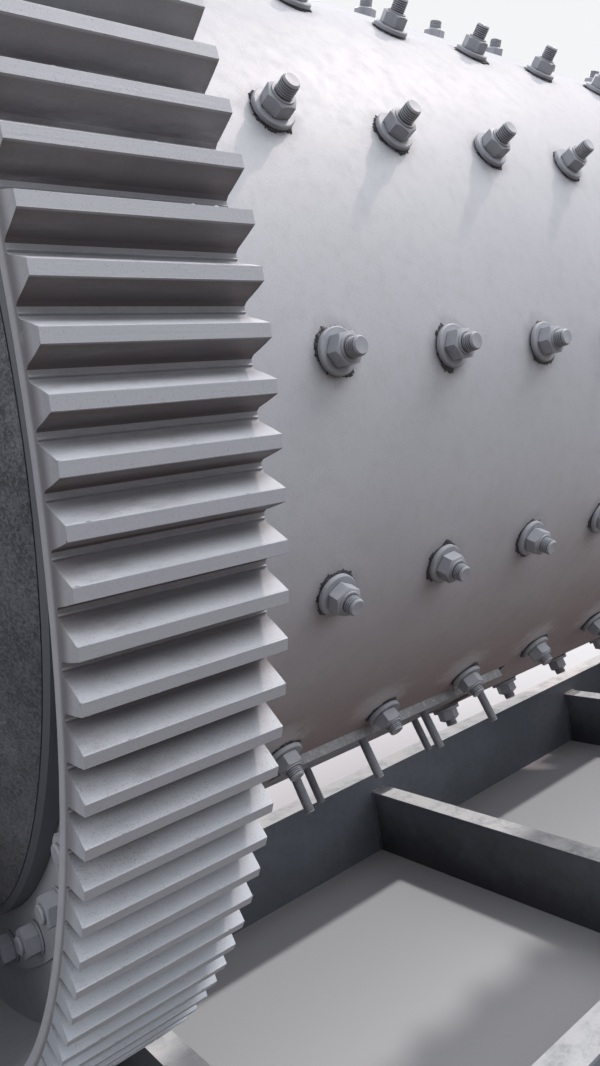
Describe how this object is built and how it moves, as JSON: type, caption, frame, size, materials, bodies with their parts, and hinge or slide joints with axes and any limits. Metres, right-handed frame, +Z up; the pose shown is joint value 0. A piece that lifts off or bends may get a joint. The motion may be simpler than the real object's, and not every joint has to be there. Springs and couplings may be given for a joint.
{
  "type": "ball mill",
  "caption": "Ball mill: a drum with a spur girth gear and hollow trunnions turns in two pillow blocks on a channel iron base frame.",
  "frame": {"origin": "on the ground under the mill axis, at the middle of the shell", "axes": "+X along the mill axis from the gear end to the feed end, +Z up"},
  "size_m": [5.32, 2.432, 3.034],
  "materials": {
    "gear_paint": "brushed grey paint, worn at the tooth edges, dusty",
    "shell_paint": "satin grey paint",
    "frame_paint": "satin grey paint, dusty on top",
    "rough_casting": "rough sand casting with thin grey paint",
    "bearing_casting": "painted sand casting",
    "bronze": "machined bearing metal",
    "turned_steel": "turned and oiled",
    "liner_paint": "satin grey paint"
  },
  "bodies": {
    "base": {"long_beam_front": "frame_paint", "long_beam_back": "frame_paint", "cross_beam_1": "frame_paint", "cross_beam_2": "frame_paint", "cross_beam_3": "frame_paint", "cross_beam_4": "frame_paint", "cross_beam_5": "frame_paint", "cross_beam_6": "frame_paint", "cross_beam_7": "frame_paint", "bearing_stand_gear_end": "frame_paint", "bearing_stand_feed_end": "frame_paint", "stand_top_gear_end": "frame_paint", "stand_top_feed_end": "frame_paint", "bearing_base_gear_end": "bearing_casting", "bearing_base_feed_end": "bearing_casting", "bearing_bush_gear_end": "bronze", "bearing_bush_feed_end": "bronze", "bearing_cap_gear_end": "bearing_casting", "bearing_cap_feed_end": "bearing_casting"},
    "drum": {"shell": "shell_paint", "shell_flange_gear_end": "shell_paint", "shell_flange_feed_end": "shell_paint", "manhole_seat": "shell_paint", "manhole_cover": "shell_paint", "head_gear_end": "rough_casting", "head_feed_end": "rough_casting", "trunnion_gear_end": "turned_steel", "trunnion_feed_end": "turned_steel", "trunnion_liner_gear_end": "liner_paint", "trunnion_liner_feed_end": "liner_paint", "gear_half_front": "gear_paint", "gear_half_back": "gear_paint"}
  },
  "joints": [
    {"name": "drum_spin", "type": "hinge", "parent": "base", "child": "drum", "pos_m": [0, 0, 1.818], "axis": [1, 0, 0], "continuous": true}
  ]
}
